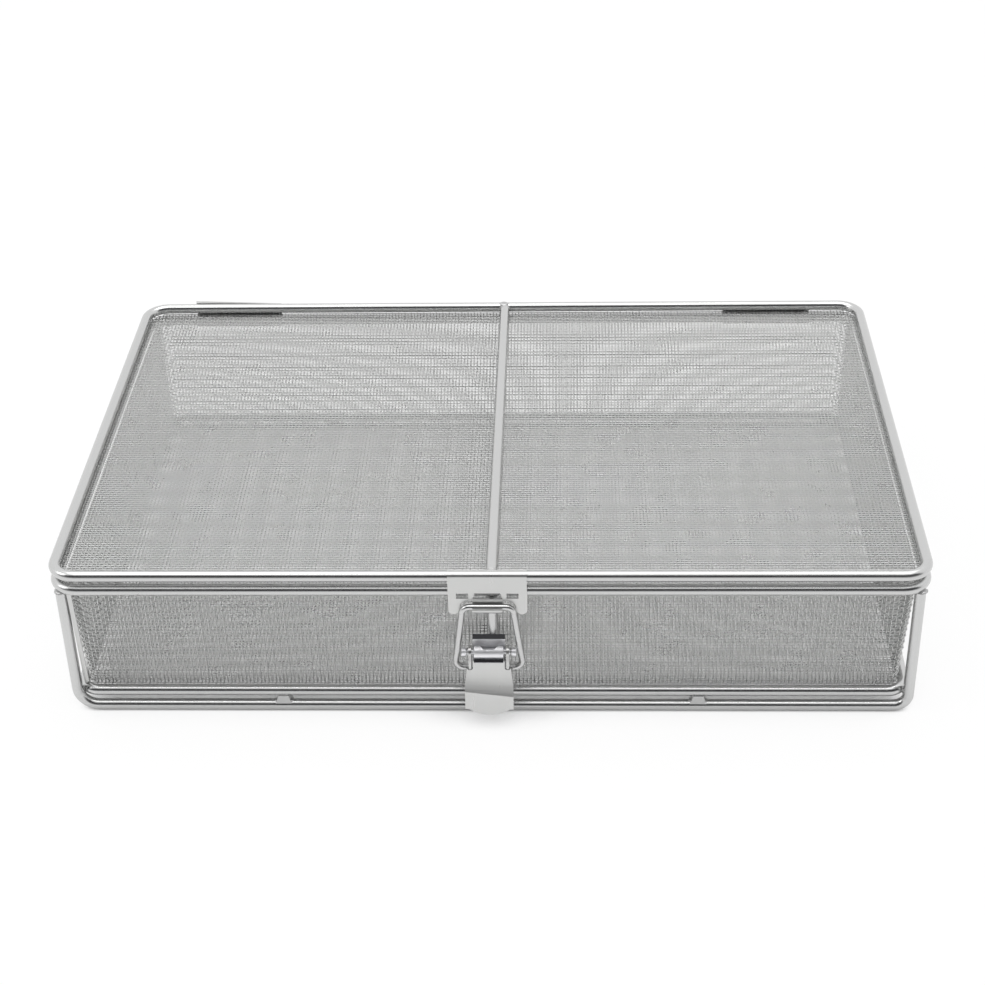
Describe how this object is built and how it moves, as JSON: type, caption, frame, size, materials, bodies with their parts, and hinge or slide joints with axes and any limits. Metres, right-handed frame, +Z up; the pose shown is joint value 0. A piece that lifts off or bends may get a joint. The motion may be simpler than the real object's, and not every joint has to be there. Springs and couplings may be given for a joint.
{
  "type": "autoclave basket",
  "caption": "Stainless steel wire mesh sterilising basket with a rod frame, hinged mesh lid and a toggle latch at the front.",
  "frame": {"origin": "The middle of the basket's footprint on the table, between the two foot rails.", "axes": "+X along the long side to the right seen from the latch, +Y to the rear where the hinges are, +Z up."},
  "size_m": [0.385, 0.2646, 0.0792],
  "materials": {
    "polished": "polished stainless steel rod",
    "sheet": "satin stainless steel sheet",
    "mesh": "woven stainless steel wire"
  },
  "bodies": {
    "base": {"rim_ring": "polished", "bottom_ring": "polished", "front_frame": "polished", "rear_frame": "polished", "front_left_spacer": "polished", "front_right_spacer": "polished", "rear_left_spacer": "polished", "rear_right_spacer": "polished", "wall_mesh": "mesh", "floor_mesh": "mesh", "seam_strip": "sheet", "latch_post": "polished", "latch_bracket": "sheet"},
    "lid": {"lid_ring": "polished", "lid_mesh": "mesh", "lid_centre_bar": "polished", "left_hinge_leaf": "sheet", "right_hinge_leaf": "sheet", "keeper_plate": "sheet"},
    "lever": {"latch_lever": "sheet", "pivot_pin": "polished"},
    "bail": {"latch_bail": "polished"}
  },
  "joints": [
    {"name": "lid_hinge", "type": "hinge", "parent": "base", "child": "lid", "pos_m": [0, 0.124, 0.0685], "axis": [-1, 0, 0], "range_deg": [0, 160]},
    {"name": "lever_pivot", "type": "hinge", "parent": "base", "child": "lever", "pos_m": [0.0003, -0.12829, 0.038], "axis": [-1, 0, 0], "range_deg": [0, 130]},
    {"name": "bail_swing", "type": "hinge", "parent": "lever", "child": "bail", "pos_m": [0.0003, -0.12755, 0.029], "axis": [-1, 0, 0], "range_deg": [-195, 0]}
  ],
  "couplings": [
    {"joint": "bail_swing", "follows": "lever_pivot", "ratio": -1.5}
  ]
}
